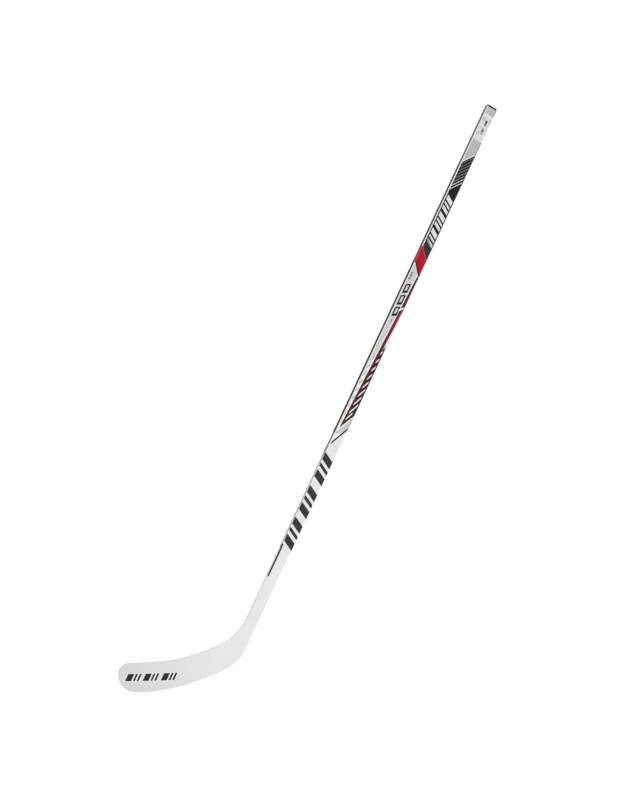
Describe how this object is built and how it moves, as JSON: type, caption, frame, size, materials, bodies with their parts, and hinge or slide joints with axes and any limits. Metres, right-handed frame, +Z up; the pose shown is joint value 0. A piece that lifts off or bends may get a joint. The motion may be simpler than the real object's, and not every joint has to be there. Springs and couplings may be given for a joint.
{
  "type": "ice hockey stick",
  "caption": "One-piece composite ice hockey stick: a hollow rounded-rectangular shaft with an end plug, joined to a curved, foam-cored laminate blade.",
  "frame": {"origin": "the point where the rockered bottom edge of the blade rests on the ice", "axes": "+Z up from the ice, -X towards the toe, +X and +Z up the shaft at 47 degrees, +Y the side the toe curves to"},
  "size_m": [1.3057, 0.0519, 1.1339],
  "materials": {
    "white_clearcoat": "white paint under clear coat, satin gloss",
    "raw_laminate": "woven carbon and glass fibre laminate, matt",
    "printed_silver": "silver-grey print under clear coat",
    "printed_black": "black print under clear coat",
    "printed_red": "red print under clear coat",
    "printed_white": "white print with dark blocks under clear coat",
    "moulded_black": "black moulded polypropylene, fine grain",
    "label_stock": "white paper label, matt",
    "foam": "closed-cell polyurethane foam",
    "epoxy": "cured epoxy, amber"
  },
  "bodies": {
    "root": {"shaft_tube": "white_clearcoat", "butt_plug": "moulded_black", "shaft_foam_dam": "foam", "tenon_adhesive": "epoxy", "joint_overwrap": "white_clearcoat", "stock_label": "label_stock", "butt_band_film": "printed_silver", "black_band_film": "printed_black", "red_band_film": "printed_red", "stripe_band_film": "printed_silver", "slash_band_film": "printed_silver", "lower_band_film": "printed_white", "backhand_skin": "white_clearcoat", "forehand_skin": "white_clearcoat", "heel_core": "foam", "bottom_edge_bead": "epoxy", "lower_foam_core": "foam", "core_bridge": "raw_laminate", "upper_foam_core": "foam", "top_edge_bead": "epoxy", "toe_bead": "epoxy", "blade_tenon": "raw_laminate"}
  },
  "joints": []
}
